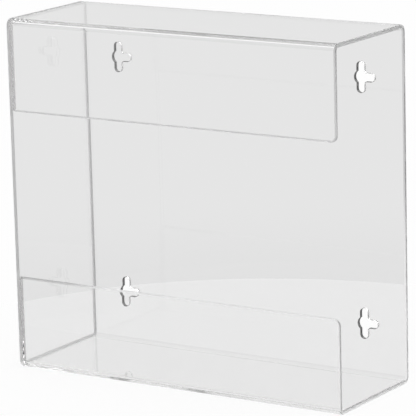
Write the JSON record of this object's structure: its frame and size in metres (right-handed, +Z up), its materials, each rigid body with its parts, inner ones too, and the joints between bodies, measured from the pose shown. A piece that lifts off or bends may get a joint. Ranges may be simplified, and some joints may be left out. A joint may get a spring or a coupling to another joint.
{
  "type": "disposable glove dispenser",
  "caption": "Clear acrylic wall or bench holder for glove boxes: a folded sheet with a front window, one closed end, one open end for loading, and keyholes in its back.",
  "frame": {"origin": "centre of the base, on the surface it stands on", "axes": "+X along the width, towards the open end; +Y towards the wall; +Z up"},
  "size_m": [0.267, 0.0944, 0.253],
  "materials": {
    "clear_sheet": "clear cast acrylic sheet, polished faces and polished edges"
  },
  "bodies": {
    "root": {"folded_shell": "clear_sheet", "end_panel": "clear_sheet"}
  },
  "joints": []
}
